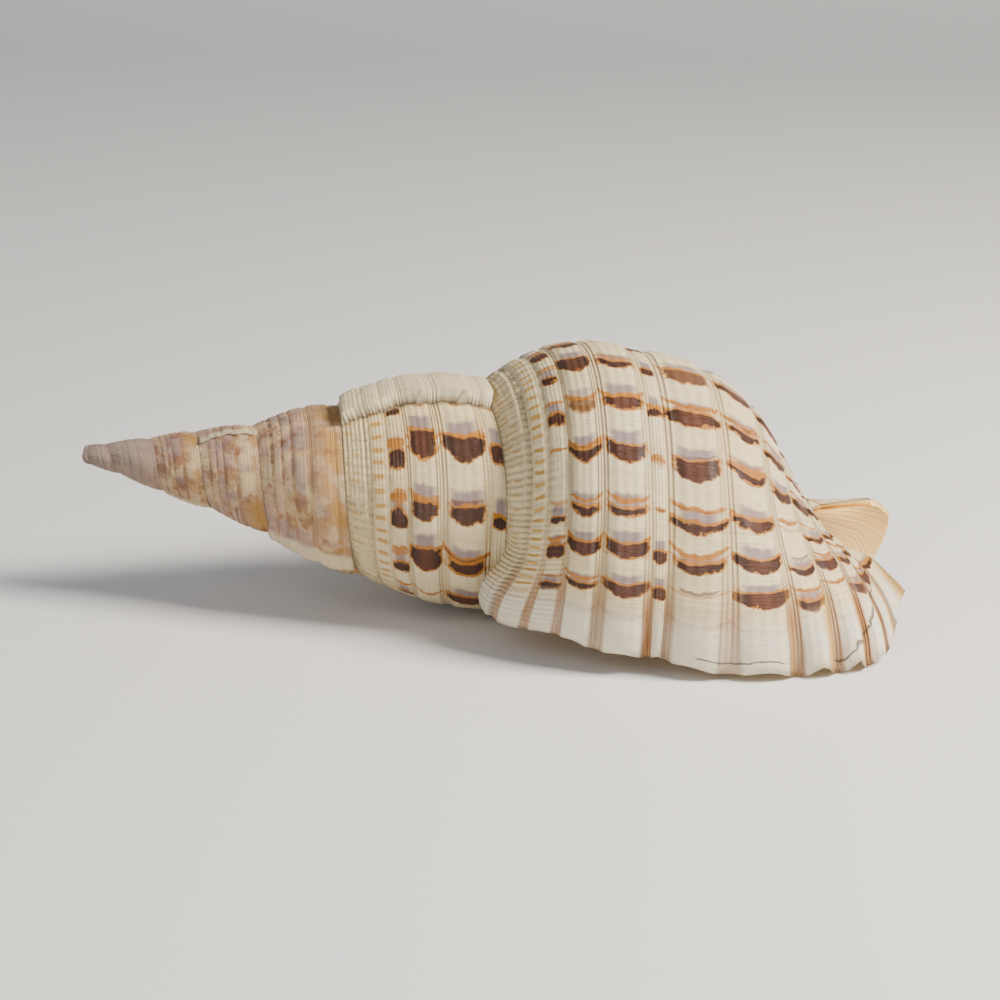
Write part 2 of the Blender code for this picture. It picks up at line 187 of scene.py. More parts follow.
def whorl_section(angle, row):
    """Along and radius of the whorl between its upper seam (row 0) and its lower seam (row 1)."""
    t = np.clip(row, 0.0, 1.0)
    upper = suture(angle)
    lower = suture(angle + TURN)
    r_upper = seam_radius(angle - TURN)
    r_lower = seam_radius(angle)
    early = smooth_step((-330 - angle) / 250)
    roundness = 1.45 + 0.55 * (1 - early) + 0.5 * smooth_step((angle + 420) / 200)
    rise = 1 - (1 - t) ** roundness
    along = upper + (lower - upper) * t
    radius = r_upper + (r_lower - r_upper) * rise
    swell = 0.045 - 0.014 * early
    radius = radius + swell * r_lower * np.sin(math.pi * t) ** 1.2
    return along, radius


def base_points(angle):
    """Points that the section passes below the lower seam, from row 0.7 to the canal end."""
    a7, r7 = whorl_section(angle, np.full_like(angle, 0.7))
    a10, r10 = whorl_section(angle, np.ones_like(angle))
    along = [a7, a10]
    radius = [r7, r10]
    for line in range(len(BASE_ROWS)):
        along.append(smooth_curve(angle, BASE_ANGLES, BASE_ALONG[line]))
        radius.append(smooth_curve(angle, BASE_ANGLES, BASE_RADIUS[line]))
    along.append(np.interp(angle, END_ANGLES, END_ALONG))
    radius.append(np.interp(angle, END_ANGLES, END_RADIUS))
    return np.stack(along, -1), np.stack(radius, -1)


def curve_through(row, knots, points):
    """Smooth curve through the points of each column, read at each row."""
    knots = np.asarray(knots, float)
    slope = np.gradient(points, knots, axis=-1)
    i, step, u = station_at(row, knots)
    ends = [np.take_along_axis(source, i[..., None] + after, -1)[..., 0]
            for source in (points, slope) for after in (0, 1)]
    return bend(*ends, step, u)


def plain_angle(angle, row):
    """Growth angle after the lip edge leans back toward the upper seam."""
    lean = smooth_step(row / 0.45) * smooth_step((angle + 90) / (90 + LIP_REACH))
    return angle - LIP_REACH * lean


def place(along, radius, side):
    """Point in space from the distance along the axis, the radius and the side angle."""
    s = np.radians(side)
    return np.stack([along, -radius * np.sin(s), -radius * np.cos(s)], -1)


def plain_surface(angle, row):
    """The outside of the shell without lip flare, cords or varices."""
    angle = np.asarray(angle, float)
    row = np.asarray(row, float)
    angle, row = np.broadcast_arrays(angle, row)
    grown = true_angle(angle, row)
    a_whorl, r_whorl = whorl_section(grown, row)
    pa, pr = base_points(grown)
    knots = (0.7, 1.0) + BASE_ROWS + (END_ROW,)
    a_base = curve_through(row, knots, pa)
    r_base = curve_through(row, knots, pr)
    below = row > 1.0
    along = np.where(below, a_base, a_whorl)
    radius = np.where(below, r_base, r_whorl)
    twist = np.interp(grown, END_TWIST_ANGLES, END_TWIST) * smooth_step((row - 2.3) / 0.7)
    near_lip = np.clip((grown + 60) / 60, 0, 1) ** 1.5
    twist = twist + smooth_curve(row, LIP_TWIST_ROWS, LIP_TWIST) * near_lip
    side = LIP_SIDE - grown + twist
    return place(along, radius, side)


def outward(function, angle, row):
    """Outward direction of a surface at growth angle and row."""
    da = 0.5
    dr = 0.01
    low = np.maximum(row - dr, 0.0)
    high = np.minimum(row + dr, END_ROW)
    along_growth = function(angle + da, row) - function(angle - da, row)
    across = function(angle, high) - function(angle, low)
    normal = np.cross(along_growth, across)
    length = np.linalg.norm(normal, axis=-1, keepdims=True)
    return normal / np.maximum(length, 1e-9)


def flare(angle, row):
    """How far the outer lip stands out from the plain surface."""
    reach = np.clip((true_angle(angle, row) - FLARE_FROM) / (0 - FLARE_FROM), 0, 1.5)
    return smooth_curve(row, FLARE_ROWS, FLARE_HEIGHT) * reach ** 2


def band_at(row):
    """Band number of a row, with the share of the band already passed."""
    return np.interp(row, BAND_ROWS, np.arange(len(BAND_ROWS)))


def row_at(band):
    return np.interp(band, np.arange(len(BAND_ROWS)), BAND_ROWS)


def marks_before(angle):
    """How many rows of marks lie before a growth angle."""
    stations = np.arange(MARK_ANGLES[0], MARK_ANGLES[-1] + 1.0, 1.0)
    rate = 1.0 / np.interp(stations, MARK_ANGLES, MARK_SPACING)
    return np.interp(angle, stations, np.cumsum(rate))


def varix_lean(row):
    """How far the edge of an old lip leans forward at a row."""
    near, more = VARIX_LEAN
    below = np.clip(row - 1, 0, 0.6)
    return near + more * np.clip(1 - 2 * row, 0, 1) ** 1.5 - 29.0 * below


def old_lips(angle, row):
    """Growth angle past each old lip (varix), negative before it."""
    out = []
    for count in range(1, VARIX_COUNT + 1):
        edge = -VARIX_STEP * count + varix_lean(row)
        edge = edge + 0.9 * np.sin(row * 23.0 + count) * smooth_step((1 - row) / 0.2)
        out.append(angle - edge)
    return out


def varix(angle, row):
    """Height of the old lips: a slow rise that ends in a step."""
    total = np.zeros_like(angle * row)
    size = seam_radius(np.minimum(angle, 0.0))
    shapes = zip(old_lips(angle, row), VARIX_RISE, VARIX_LEAD, VARIX_CREST)
    for past, height, lead, crest in shapes:
        rise = np.clip((lead + past) / (lead - crest), 0, 1) ** 2
        fade = smooth_step((2.0 - row) / 0.5) * smooth_step(row / 0.04)
        total = total + np.where(past <= 0, rise, 0.0) * height * size * fade
    return total


def gathered(angle, row):
    """Growth angle moved so that the columns draw together on the edge of each old lip."""
    moved = np.array(angle, float)
    fade = smooth_step((1.0 - row) / 0.06) * smooth_step(row / 0.03)
    for past in old_lips(angle, row):
        near = np.clip(1 - np.abs(past) / 12.0, 0, 1)
        moved = moved - past * near ** 1.5 * 0.9 * fade
    return moved


def overhang(angle, row):
    """How far the edge of an old lip juts over the whorl in front of it, in degrees."""
    total = np.zeros_like(angle * row)
    fade = smooth_step((1.0 - row) / 0.06) * smooth_step(row / 0.05)
    for past in old_lips(angle, row):
        total = total + np.where(past <= 0, np.exp(-(past / 3.0) ** 2), 0.0) * 2.2
    return total * fade


def cords(angle, row):
    """Height of the flat-topped spiral cords, with beads on the narrow ones near the seam."""
    band = band_at(row)
    whole = np.clip(np.floor(band), 0, len(CORD_HEIGHTS) - 1)
    side = np.abs(band - whole - 0.5)
    height = np.take(CORD_HEIGHTS, whole.astype(int))
    top = smooth_step((0.47 - side) / 0.17)
    turns = marks_before(angle)
    beads = 0.5 + 0.5 * np.cos(math.tau * turns * 3.0)
    beaded = np.isin(whole, (1, 2)) * 0.45
    swell = 1 + 0.16 * np.cos(math.tau * (turns - 0.8)) * (whole > 2)
    size = seam_radius(np.minimum(angle, 0.0)) / LAST_RADIUS
    return height * top * swell * (1 - beaded * beads) * np.clip(size, 0.12, 1.2)


def crinkle(angle, row):
    """Small folds across the band below the upper seam."""
    size = np.clip(seam_radius(np.minimum(angle, 0.0)) / LAST_RADIUS, 0.1, 1.0)
    turns = marks_before(angle)
    fold = np.sin(math.tau * (turns * 4.0 + 0.35 * np.sin(turns * 9.1)))
    fold = fold + 0.5 * np.sin(turns * 61.0 + 1.3)
    fine = np.sin(math.tau * row / 0.042)
    return (0.42 * fold + 0.25 * fine) * size * smooth_step((0.2 - row) / 0.06)


def scallops(angle, row):
    """Ruffle of the outer lip: its edge dips at each groove between cords."""
    near = np.clip((true_angle(angle, row) + 26) / 26, 0, 1.4) ** 2
    band = band_at(row)
    deep = (1.2 + 1.6 * smooth_step((row - 1.5) / 0.5)) * smooth_step((2.55 - row) / 0.45)
    return -deep * near * np.cos(math.tau * band) * smooth_step((row - 0.3) / 0.5)


def true_angle(angle, row):
    """Growth angle with the ruffled lip edge, gathered columns and jutting old lips."""
    moved = plain_angle(angle, row)
    edge = smooth_step((angle + 6) / 16) * smooth_step((row - 0.25) / 0.4)
    deep = (1.0 + 1.3 * smooth_step((row - 1.5) / 0.5)) * smooth_step((2.55 - row) / 0.45)
    return moved + deep * edge * np.cos(math.tau * band_at(row))


def tongue(angle, row):
    """How far the upper end of the lip runs back; the lip's corner and the spout run ahead."""
    near = smooth_step((true_angle(angle, row) + 22) / 22)
    back = TONGUE * near * smooth_step(row / 0.05) * smooth_step((0.42 - row) / 0.36)
    corner = LIP_CORNER * near * np.clip(1 - ((row - 2.7) / 0.42) ** 2, 0, 1)
    spout = SPOUT * smooth_step(1 - np.abs(angle - SPOUT_MIDDLE) / 105)
    return back - corner - spout * smooth_step((row - NECK_ROW) / 0.8)


def old_lip_shade(angle, row):
    """Share of the pale crest of an old lip, and of the shadow right under its edge."""
    total = np.zeros((angle * row).shape + (2,))
    weights = np.clip(np.array(VARIX_CREST) / 10.0, 0.45, 1.0)
    moved = gathered(angle, row)
    for past, crest, weight in zip(old_lips(moved, row), VARIX_CREST, weights):
        pale = smooth_step((past + crest + 7.0) / 6.0) * (past <= 0)
        dark = np.clip(1 - past / 5.0, 0, 1) * (past > 0)
        total = total + np.stack([pale, dark], -1) * weight
    fade = smooth_step(row / 0.05) * smooth_step((1.9 - row) / 0.4)
    return total * fade[..., None]


def outside(angle, row):
    """The outside of the shell with every raised detail."""
    angle, row = np.broadcast_arrays(np.asarray(angle, float), np.asarray(row, float))
    angle = gathered(angle, row)
    height = flare(angle, row) + varix(angle, row) + scallops(angle, row)
    height = (height + cords(angle, row) + crinkle(angle, row)) * smooth_step(row / 0.03)
    base = plain_surface(angle + overhang(angle, row), row)
    base[..., 0] -= tongue(angle, row)
    return base + outward(plain_surface, angle, row) * height[..., None]


def inset(angle, row, wall):
    """The inner face of the wall, one wall thickness below the outside."""
    angle, row = np.broadcast_arrays(np.asarray(angle, float), np.asarray(row, float))
    smooth = plain_surface(angle, row)
    smooth[..., 0] -= tongue(angle, row)
    height = flare(angle, row) + scallops(angle, row) - wall
    return smooth + outward(plain_surface, angle, row) * height[..., None]


def sheet_rows(first, last):
    """Rows of a sheet, set by the bands so that every cord is followed."""
    bands = [whole + part for whole in range(len(CORD_HEIGHTS)) for part in BAND_STATIONS]
    rows = [float(row_at(band)) for band in bands]
    inner = [row for row in rows if first + 0.006 < row < last - 0.006]
    return np.array([first] + inner + [last])


def column_angles(per_turn):
    """Growth angles of the columns, from the tip to the lip."""
    turns = int(round((LIP_REACH - FIRST_ANGLE) / TURN))
    return LIP_REACH - np.arange(turns * per_turn, -1, -1) * (TURN / per_turn)


class Sheet:
    """A grid of places on the shell, with what its colours are read from."""

    def __init__(self, places, across, along, growth, side, relief=0.0):
        shape = places.shape[:2]
        spread = [np.broadcast_to(values, shape) for values in (across, along, growth, side)]
        self.places = places
        self.maps = {"marks": np.stack(spread[:2], -1), "growth": np.stack(spread[2:], -1),
                     "relief": np.broadcast_to(relief, shape + (2,))}

    def lay(self, bm, material):
        """Lay the sheet into the mesh: a plain grid whose corners move to their places."""
        columns, rows = self.places.shape[:2]
        made = bmesh.ops.create_grid(bm, x_segments=columns - 1, y_segments=rows - 1, size=1.0)
        if len(made["verts"]) != columns * rows:
            raise RuntimeError("the grid has another number of corners than its sheet")
        layers = [(bm.loops.layers.uv[name], self.maps[name]) for name in DETAIL_MAPS]
        cell = {}
        faces = set()
        for vert in made["verts"]:
            i = round((vert.co.x + 1) * 0.5 * (columns - 1))
            j = round((vert.co.y + 1) * 0.5 * (rows - 1))
            cell[vert] = (i, j)
            faces.update(vert.link_faces)
        for vert, place_of in cell.items():
            vert.co = self.places[place_of]
        for face in faces:
            face.material_index = material
            face.smooth = True
            for loop in face.loops:
                for layer, values in layers:
                    loop[layer].uv = values[cell[loop.vert]]


def outer_sheets(per_turn):
    """The whorls, the base of the last whorl, and the canal."""
    angles = column_angles(per_turn)
    last = len(angles) - 1
    far = last - int(round(CANAL_FAR_EDGE / TURN * per_turn))
    start = last - per_turn
    whorl_rows = sheet_rows(0.0, 1.0)
    base_rows = sheet_rows(1.0, NECK_ROW)
    canal_rows = sheet_rows(NECK_ROW, END_ROW)
    whorls = outside(angles[:, None], whorl_rows[None, :])
    whorls[per_turn:, 0] = whorls[:-per_turn, -1]
    return ((whorls, angles, whorl_rows),
            (outside(angles[start:, None], base_rows[None, :]), angles[start:], base_rows),
            (outside(angles[far:, None], canal_rows[None, :]), angles[far:], canal_rows))


def tip_sheet(whorls, per_turn):
    """Worn, blunt tip that closes the start of the coil."""
    loop = np.concatenate([whorls[:per_turn + 1, 0], whorls[0, -2::-1]])
    middle = loop.mean(axis=0)
    crown = np.array(TIP_CROWN) - middle
    turn = np.radians(np.linspace(0, 90, 8))[None, :, None]
    return middle + (loop - middle)[:, None] * np.cos(turn) + crown * np.sin(turn)


class Rim:
    """The edge of the opening: lip, canal, far wall of the canal, ledge and pillar."""

    def __init__(self, whorls, base, canal):
        places, angles, rows, parts = [], [], [], []
        whorl_places, _, whorl_rows = whorls
        base_places, base_angles, base_rows = base
        canal_places, canal_angles, canal_rows = canal
        lip = LIP_REACH
        stop = len(base_angles) - len(canal_angles)
        runs = (("lip", whorl_places[-1], lip, whorl_rows),
                ("lip", base_places[-1, 1:], lip, base_rows[1:]),
                ("near", canal_places[-1, 1:], lip, canal_rows[1:]),
                ("end", canal_places[-2::-1, -1], canal_angles[-2::-1], END_ROW),
                ("edge", canal_places[0, -2:0:-1], canal_angles[0], canal_rows[-2:0:-1]),
                ("ledge", base_places[stop:0:-1, -1], base_angles[stop:0:-1], NECK_ROW),
                ("pillar", base_places[0, :0:-1], base_angles[0], base_rows[:0:-1]))
        for part, place_of, angle, row in runs:
            count = len(place_of)
            places.append(place_of)
            angles.append(np.broadcast_to(angle, count))
            rows.append(np.broadcast_to(row, count))
            parts += [part] * count
        self.places = np.concatenate(places)
        self.angles = np.concatenate(angles).astype(float)
        self.rows = np.concatenate(rows).astype(float)
        self.parts = np.array(parts)
        self.far_angle = float(canal_angles[0])
        self.seam = np.arange(len(self.parts)) == 0


def lip_place(row, depth, lag):
    """Growth angle and row of the lip's inner side at a depth behind its edge."""
    angle = LIP_REACH - depth - lag * smooth_step((row - 1.0) / 1.2)
    floor_row = float(np.interp(depth, HOLLOW_FLOOR_AT, HOLLOW_FLOOR))
    start = LIP_INNER_ROW * min(1.0, depth / MOUTH_EASE)
    return angle, start + (floor_row - start) * row / NECK_ROW


def hollow_ring(rim, depth):
    """Ring of the hollow at a depth behind the lip, in the order of the rim."""
    u = min(1.0, depth / HOLLOW_LAG)
    lag = HOLLOW_LAG * smooth_step(u)
    wall = float(np.interp(depth, WALL_AT, WALL))
    start = LIP_REACH - TURN
    entered = 1.0 + PILLAR_INNER_ROWS * min(1.0, depth / MOUTH_EASE)
    angle, row, part = rim.angles, rim.rows, rim.parts
    ring = np.zeros((len(part), 3))
    lip = (part == "lip") & ~rim.seam
    ring[lip] = inset(*lip_place(row[lip], depth, lag), wall)
    ring[rim.seam] = plain_surface(start - depth, entered)
    pillar = part == "pillar"
    moved = start - depth - lag * smooth_step((row[pillar] - 1.0) / 1.2)
    ring[pillar] = plain_surface(moved, np.maximum(row[pillar], entered))
    near = part == "near"
    ring[near] = inset(angle[near] + (CANAL_NEAR_ANGLE - angle[near]) * u,
                       row[near] + (NECK_ROW - row[near]) * u, wall)
    end = part == "end"
    length = END_ROW - NECK_ROW
    parting = 0.5 * (CANAL_NEAR_ANGLE + CANAL_FOLD_ANGLE)
    goal = np.where(angle[end] > parting, CANAL_NEAR_ANGLE, CANAL_FOLD_ANGLE)
    ring[end] = inset(angle[end] + (goal - angle[end]) * u, END_ROW - length * u, wall)
    edge = part == "edge"
    far = rim.far_angle
    share = ((END_ROW - row[edge]) / length)[:, None]
    corner = inset(far * (1 - u) + CANAL_FOLD_ANGLE * u, END_ROW - length * u, wall)
    on_pillar = plain_surface(far + (start - depth - lag - far) * u, NECK_ROW)
    keep = max(0.0, 1 - depth / 10.0) ** 2
    swept = (1 - share) * corner + share * on_pillar
    ring[edge] = keep * inset(far, row[edge], wall) + (1 - keep) * swept
    ledge = part == "ledge"
    back = min(depth, 5.0) * (1 - u)
    goal = start - depth - lag
    ring[ledge] = plain_surface(angle[ledge] - back + (goal - angle[ledge]) * u, NECK_ROW)
    return merged(rim, ring, depth, wall, u, lag)


def merged(rim, ring, depth, wall, u, lag):
    """Draw the canal's part of a ring into a plain arc behind the opening."""
    start = LIP_REACH - TURN
    lip_end = inset(*lip_place(NECK_ROW, depth, lag), wall)
    foot = plain_surface(start - depth - lag, NECK_ROW)
    middle = 0.5 * (lip_end + foot) + np.array([7.0 * u, 0, 0])
    canal = np.isin(rim.parts, ("near", "end", "edge", "ledge"))
    count = int(canal.sum())
    s = (np.arange(1, count + 1) / (count + 1))[:, None]
    arc = (1 - s) ** 2 * lip_end + 2 * s * (1 - s) * middle + s * s * foot
    share = float(smooth_step((u - 0.3) / 0.7))
    ring[canal] = (1 - share) * ring[canal] + share * arc
    return ring


def hollow_sheet(rim, rings, deepest):
    """Inner side of the opening: a tube that runs back into the whorl and closes."""
    depths = deepest * (np.arange(rings) / (rings - 1)) ** 1.75
    first = hollow_ring(rim, 0.0)
    kept = np.isin(rim.parts, ("pillar", "ledge")) | rim.seam
    first[kept] = rim.places[kept]
    tube = [rim.places, first] + [hollow_ring(rim, depth) for depth in depths[1:]]
    centre = tube[-1].mean(axis=0)
    ahead = hollow_ring(rim, deepest + 11.0).mean(axis=0) - centre
    for turn in np.radians((30, 55, 75, 90)):
        tube.append(centre + (tube[rings] - centre) * math.cos(turn) + ahead * math.sin(turn))
    depth_of = np.concatenate([[-1.5, 0.0], depths[1:], np.full(4, deepest)])
    places = np.stack(tube, axis=1)
    return np.concatenate([places, places[:1]]), depth_of


def worked(operation, reflected=False):
    """A method that sends a value, and what it is given, through one step of maths."""
    def method(self, *others):
        values = (*others, self) if reflected else (self, *others)
        return self.graph.math(operation, *values)
    return method


class Signal:
    """A value that changes over the surface, with arithmetic."""

    def __init__(self, graph, socket):
        self.graph = graph
        self.socket = socket

    __add__ = __radd__ = worked("ADD")
    __sub__ = worked("SUBTRACT")
    __rsub__ = worked("SUBTRACT", reflected=True)
    __mul__ = __rmul__ = worked("MULTIPLY")
    __truediv__ = worked("DIVIDE")
    floor = worked("FLOOR")
    fraction = worked("FRACT")
    size = worked("ABSOLUTE")
    least = worked("MINIMUM")
    most = worked("MAXIMUM")

    def wave(self):
        """0 to 1 and back once for each whole step."""
        return self.graph.math("COSINE", self * math.tau) * -0.5 + 0.5

    def over(self, low, high):
        """0 below low, 1 above high, smooth between; low may be the larger one."""
        graph = self.graph
        node = graph.node("ShaderNodeMapRange", {"interpolation_type": "SMOOTHSTEP"},
                          {"Value": self, "From Min": low, "From Max": high})
        return Signal(graph, node.outputs["Result"])

    def between(self, low, high, soft):
        """1 from low to high and 0 outside, with soft edges."""
        return self.over(low - soft, low + soft) * self.over(high + soft, high - soft)


class Graph:
    """The nodes of one material."""

    def __init__(self, name):
        self.material = bpy.data.materials.new(name)
        self.material.use_nodes = True
        self.tree = self.material.node_tree
        self.surface = self.tree.nodes["Principled BSDF"]

    def link(self, value, socket):
        if isinstance(value, Signal):
            value = value.socket
        if isinstance(value, bpy.types.NodeSocket):
            self.tree.links.new(value, socket)
        else:
            socket.default_value = value

    def node(self, kind, settings=None, inputs=None):
        node = self.tree.nodes.new(kind)
        for name, value in (settings or {}).items():
            setattr(node, name, value)
        for name, value in (inputs or {}).items():
            self.link(value, node.inputs[name])
        return node

    def math(self, operation, *values):
        node = self.node("ShaderNodeMath", {"operation": operation}, dict(enumerate(values)))
        return Signal(self, node.outputs[0])

    def combine(self, x, y, z=0.0):
        node = self.node("ShaderNodeCombineXYZ", None, {"X": x, "Y": y, "Z": z})
        return node.outputs["Vector"]

    def noise(self, place, scale, detail=2.0, rough=0.5):
        node = self.node("ShaderNodeTexNoise", None,
                         {"Vector": place, "Scale": scale, "Detail": detail, "Roughness": rough})
        return Signal(self, node.outputs["Fac"])

    def chance(self, x, y, seed=0.0):
        """A chance value for each whole x and y."""
        node = self.node("ShaderNodeTexWhiteNoise", {"noise_dimensions": "3D"},
                         {"Vector": self.combine(x, y, seed)})
        return Signal(self, node.outputs["Value"])

    def read(self, name):
        """Both values of a UV map."""
        uv = self.node("ShaderNodeUVMap", {"uv_map": name})
        split = self.node("ShaderNodeSeparateXYZ", None, {"Vector": uv.outputs["UV"]})
        return Signal(self, split.outputs["X"]), Signal(self, split.outputs["Y"])

    def object_place(self):
        return self.node("ShaderNodeTexCoord").outputs["Object"]

    def mix(self, share, first, second):
        """Colour between two colours, each a node's output or an RGB triple."""
        ends = [tuple(c) + (1.0,) if not isinstance(c, bpy.types.NodeSocket) else c
                for c in (first, second)]
        node = self.node("ShaderNodeMix", {"data_type": "RGBA"}, {0: share, 6: ends[0], 7: ends[1]})
        return node.outputs[2]

    def painted(self, base, *layers):
        """A colour with other colours laid over it one after another, each with its share."""
        for share, colour in layers:
            base = self.mix(share, base, colour)
        return base

    def finish(self, colour, roughness, height, depth):
        """Colour, roughness and bump of the surface, under a thin glaze."""
        bump = self.node("ShaderNodeBump", None,
                         {"Strength": 1.0, "Distance": depth, "Height": height})
        self.link(colour, self.surface.inputs["Base Color"])
        self.link(roughness, self.surface.inputs["Roughness"])
        self.link(bump.outputs["Normal"], self.surface.inputs["Normal"])
        self.surface.inputs["Specular IOR Level"].default_value = 0.38
        self.surface.inputs["Coat Weight"].default_value = 0.06
        self.surface.inputs["Coat Roughness"].default_value = 0.25
        return self.material


class OuterGround:
    """What the outer colours are worked out from: place, bands, age and grain."""

    def __init__(self, graph):
        place = graph.object_place()
        self.turns, self.band = graph.read("marks")
        self.angle, _ = graph.read("growth")
        # Pale crest of each old lip, and the share of painted shadow right under its edge
        self.crest, self.under = graph.read("relief")
        self.whole = self.band.floor()
        self.side = (self.band.fraction() - 0.5) * 2.0
        self.off = self.side.size()
        self.wobble = graph.noise(place, 60.0, 3.0, 0.6) - 0.5
        self.ragged = graph.noise(place, 330.0, 3.0, 0.6) - 0.5
        self.cloud = graph.noise(place, 22.0, 3.0) - 0.5
        self.grain = graph.noise(place, 420.0, 3.0, 0.6)
        self.fine = graph.noise(place, 1500.0, 2.0, 0.6)
        self.groove = self.off.over(0.66, 0.80)
        self.seam_band = self.band.over(1.02, 0.96)
        self.spire = self.angle.over(-600.0, -700.0)
        self.old = self.angle.over(-330.0, -420.0)
        self.tip = self.angle.over(-1560.0, -1900.0)
        self.lip = self.angle.over(-8.0, 2.0)
        self.small = self.band.over(3.05, 2.95).most(self.band.between(5.0, 6.0, 0.03))


def crescent(graph, ground, shift, thick, thin, seed):
    """Shares of the core, rim and pale inside of one set of crescents, convex to the lip."""
    arch = ground.side * ground.side
    jitter = 0.36 * (graph.chance(ground.whole, seed, 3.0) - 0.5)
    drift = 0.34 * ground.wobble + 0.16 * ground.ragged + jitter + shift
    bold = graph.chance((ground.turns + shift).floor(), 11.0, seed)
    row = ground.turns + arch * (0.20 + 0.16 * bold - 0.22 * ground.small) + drift
    number = row.floor()
    chance = graph.chance(number, ground.whole, seed)
    second = graph.chance(number, ground.whole, seed + 7.0)
    part = row.fraction()
    depth = (thin + (thick - thin) * second * (0.45 + 0.75 * bold)) * (1 - 0.45 * arch)
    depth = depth * (1 + 0.45 * ground.old)
    back = 0.95 - depth
    reach = 0.62 + 0.34 * chance + 0.5 * ground.ragged
    inside = ground.off.over(reach + 0.09, reach - 0.05)
    wide = ground.off.over(reach + 0.24, reach + 0.02)
    gap = 0.03 * graph.chance(number, ground.whole, seed + 3.0) + 0.2 * ground.ragged.most(0.0)
    core = part.between(back + gap + 0.012, 0.935 - gap, 0.016) * inside
    rim = part.between(back - 0.026, 0.950, 0.020) * wide
    pale = part.between(back - 0.24, back + 0.03, 0.05) * ground.off.over(0.9, 0.35)
    return core, rim, pale, chance, second


def outer_colour(graph, ground, colours):
    """Cream ground with growth lines, bold and slight crescents, and dots near the seam."""
    plain = ground.seam_band.most(ground.band.between(1.0, 2.0, 0.03))
    # No marks on the old lips' crests nor in the painted shadow under their edges
    shown = (1 - ground.lip) * (1 - plain) * (ground.crest + ground.under).over(0.9, 0.2)
    lines = graph.noise(graph.combine(ground.angle * 1.9, ground.band * 0.35), 1.0, 3.0, 0.65)
    core, rim, pale, chance, second = crescent(graph, ground, 0.0, 0.50, 0.18, 1.0)
    present = (chance + 0.16 * ground.old).over(0.15, 0.21) * shown
    fade = 1 - ground.spire * 0.45
    smear = ground.groove * core.most(pale) * 0.5
    slight = crescent(graph, ground, 0.48, 0.17, 0.05, 4.0)
    thin = slight[1] * slight[3].over(0.12, 0.22) * shown * (1 - 0.6 * ground.spire)
    middle = slight[0] * slight[4].over(0.55, 0.7) * shown * 0.7 * fade
    other = crescent(graph, ground, 0.27, 0.12, 0.04, 9.0)
    faint = other[1] * other[3].over(0.22, 0.32) * shown * (0.62 + 0.3 * ground.old)
    bold = present * (1 - ground.spire * chance.over(0.75, 0.55))
    smoky = graph.mix(second * ground.off.over(0.8, 0.1) * 0.75, colours.chocolate, colours.maroon)
    base = graph.painted(
        colours.cream,
        (ground.cloud * 1.4 + 0.5, colours.warm_cream),
        (ground.old * 0.6, colours.warm_cream),
        (ground.spire * 0.85, colours.spire_pink),
        (lines.over(0.50, 0.72) * 0.35, colours.tan),
        (ground.groove * (0.28 + 0.2 * ground.spire), colours.tan),
        (pale * present * fade * 0.85, colours.lavender),
        (smear * present * 0.5, colours.lavender),
        (thin * 0.92, colours.amber),
        (middle, colours.maroon),
        (faint * (1 - ground.spire), colours.amber),
        (rim * bold * (0.95 - 0.45 * ground.spire), colours.amber),
        (core * bold * (0.96 - 0.62 * ground.spire), smoky))
    for step in (dotted, ray_colour, worn_colour):
        base = step(graph, ground, base, colours)
    return base


def dotted(graph, ground, base, colours):
    """Yellow beads and brown dots on the narrow cords near the upper seam."""
    beads = (ground.turns * 4.0 + 1.2 * ground.wobble).wave().over(0.55, 0.9)
    first = ground.band.between(1.0, 2.0, 0.05) * ground.off.over(0.8, 0.4)
    shown = 1 - ground.spire
    wrinkle = (ground.turns * 6.0 + 0.8 * ground.wobble).wave().over(0.5, 0.9)
    spot = graph.chance((ground.turns * 6.0).floor(), (ground.band * 5.0).floor(), 2.0)
    share = wrinkle * ground.band.between(0.08, 0.62, 0.08) * spot.over(0.45, 0.7)
    return graph.painted(
        base,
        (ground.seam_band * shown * 0.45, colours.warm_cream),
        (beads * first * shown * 0.9, colours.ochre),
        (share * shown * 0.6, colours.ochre))


def ray_colour(graph, ground, base, colours):
    """Tan rays, with ochre beside them, that run over the flared lip from the grooves."""
    edge = ground.off.over(0.60, 0.80) * ground.band.over(0.7, 1.0)
    strong = graph.chance((ground.band + 0.5).floor(), 5.0)
    streak = graph.noise(graph.combine(ground.angle * 0.10, ground.band * 9.0), 1.0, 2.0)
    share = edge * (0.45 + 0.55 * strong) * (0.55 + streak)
    lines = graph.noise(graph.combine(ground.angle * 3.1, ground.band * 0.3), 1.0, 3.0, 0.6)
    across = (ground.band + 0.5).fraction() - 0.5
    beside = across.between(-0.30, -0.04, 0.07) * ground.band.over(7.6, 8.4)
    return graph.painted(
        base,
        (ground.lip * 0.75, colours.lip_white),
        (ground.lip * lines.over(0.52, 0.70) * 0.30, colours.warm_cream),
        (share * ground.angle.over(-20.0, -2.0) * 0.95, colours.ray),
        (beside * ground.angle.over(-16.0, 0.0) * 0.8, colours.ochre))


def cracks(ground):
    """Thin cracks: beside the canal, along the lip edge and on the spire."""
    stray = 5.0 * ground.wobble + 3.0 * ground.ragged
    slant = ground.angle - 72.5 + ground.band * 7.0 + stray
    line = slant.size().over(0.55, 0.15) * ground.band.between(9.4, 11.7, 0.05)
    edge = (ground.angle - 7.2 + stray * 0.4).size().over(0.30, 0.08)
    places = ground.band.between(6.55, 7.75, 0.04) + ground.band.between(8.9, 9.4, 0.04)
    spire = (ground.band - 3.6 + 1.4 * ground.wobble).size().over(0.07, 0.02)
    spire = spire * ground.angle.between(-1075.0, -985.0, 4.0)
    return (line + edge * places + spire).least(1.0)


